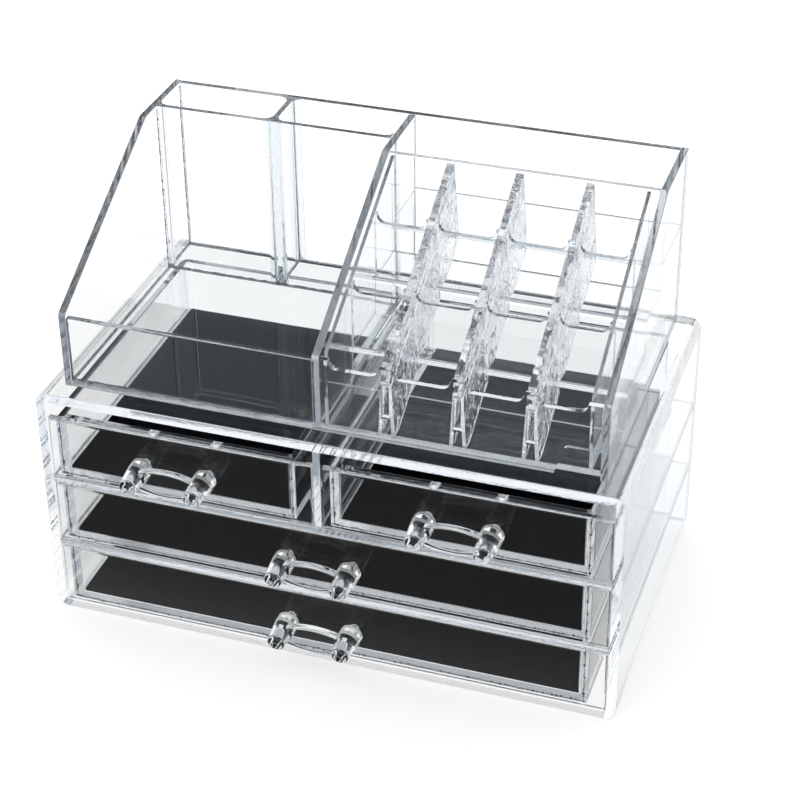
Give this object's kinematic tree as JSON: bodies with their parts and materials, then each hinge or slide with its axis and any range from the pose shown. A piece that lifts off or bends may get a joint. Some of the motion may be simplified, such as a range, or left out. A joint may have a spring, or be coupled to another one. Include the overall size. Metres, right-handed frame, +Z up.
{
  "type": "acrylic makeup organizer drawers",
  "caption": "Clear acrylic make-up organizer: a cabinet of sliding drawers with black liners under a lift-off top with tray, brush bins and a stepped lipstick rack.",
  "frame": {"origin": "centre of the cabinet's underside", "axes": "+X to the right along the drawer fronts, +Y towards the back (the drawers pull out along -Y), +Z up"},
  "size_m": [0.24, 0.1496, 0.1855],
  "materials": {
    "clear_acrylic": "crystal clear, polished, with softened edges",
    "clear_grip": "crystal clear, polished all round",
    "black_liner": "thin black foam-backed sheet, matt with a fine tooth"
  },
  "bodies": {
    "cabinet": {"cabinet_shell": "clear_acrylic", "cabinet_back_panel": "clear_acrylic", "lower_shelf": "clear_acrylic", "upper_shelf": "clear_acrylic", "centre_divider": "clear_acrylic"},
    "top_left_drawer": {"top_left_drawer_box": "clear_acrylic", "top_left_front_panel": "clear_acrylic", "top_left_liner": "black_liner", "top_left_handle": "clear_grip"},
    "top_right_drawer": {"top_right_drawer_box": "clear_acrylic", "top_right_front_panel": "clear_acrylic", "top_right_liner": "black_liner", "top_right_handle": "clear_grip"},
    "middle_drawer": {"middle_drawer_box": "clear_acrylic", "middle_front_panel": "clear_acrylic", "middle_liner": "black_liner", "middle_handle": "clear_grip"},
    "bottom_drawer": {"bottom_drawer_box": "clear_acrylic", "bottom_front_panel": "clear_acrylic", "bottom_liner": "black_liner", "bottom_handle": "clear_grip"},
    "organizer": {"organizer_floor": "clear_acrylic", "left_end_panel": "clear_acrylic", "right_end_panel": "clear_acrylic", "organizer_back_panel": "clear_acrylic", "front_lip": "clear_acrylic", "bin_front_wall": "clear_acrylic", "bin_divider": "clear_acrylic", "rear_bin_floor": "clear_acrylic", "lipstick_side_wall": "clear_acrylic", "lipstick_back_wall": "clear_acrylic", "lipstick_steps": "clear_acrylic", "lipstick_front_wall": "clear_acrylic", "middle_row_wall": "clear_acrylic", "rear_row_wall": "clear_acrylic", "lipstick_ridge_1": "clear_acrylic", "lipstick_ridge_2": "clear_acrylic", "lipstick_ridge_3": "clear_acrylic", "rack_left_wall": "clear_acrylic", "rack_right_wall": "clear_acrylic"}
  },
  "joints": [
    {"name": "top_left_drawer_slide", "type": "slide", "parent": "cabinet", "child": "top_left_drawer", "axis": [0, -1, 0], "range_m": [0, 0.11]},
    {"name": "top_right_drawer_slide", "type": "slide", "parent": "cabinet", "child": "top_right_drawer", "axis": [0, -1, 0], "range_m": [0, 0.11]},
    {"name": "middle_drawer_slide", "type": "slide", "parent": "cabinet", "child": "middle_drawer", "axis": [0, -1, 0], "range_m": [0, 0.11]},
    {"name": "bottom_drawer_slide", "type": "slide", "parent": "cabinet", "child": "bottom_drawer", "axis": [0, -1, 0], "range_m": [0, 0.11]},
    {"name": "organizer_lift", "type": "slide", "parent": "cabinet", "child": "organizer", "axis": [0, 0, 1], "range_m": [0, 0.12]}
  ]
}
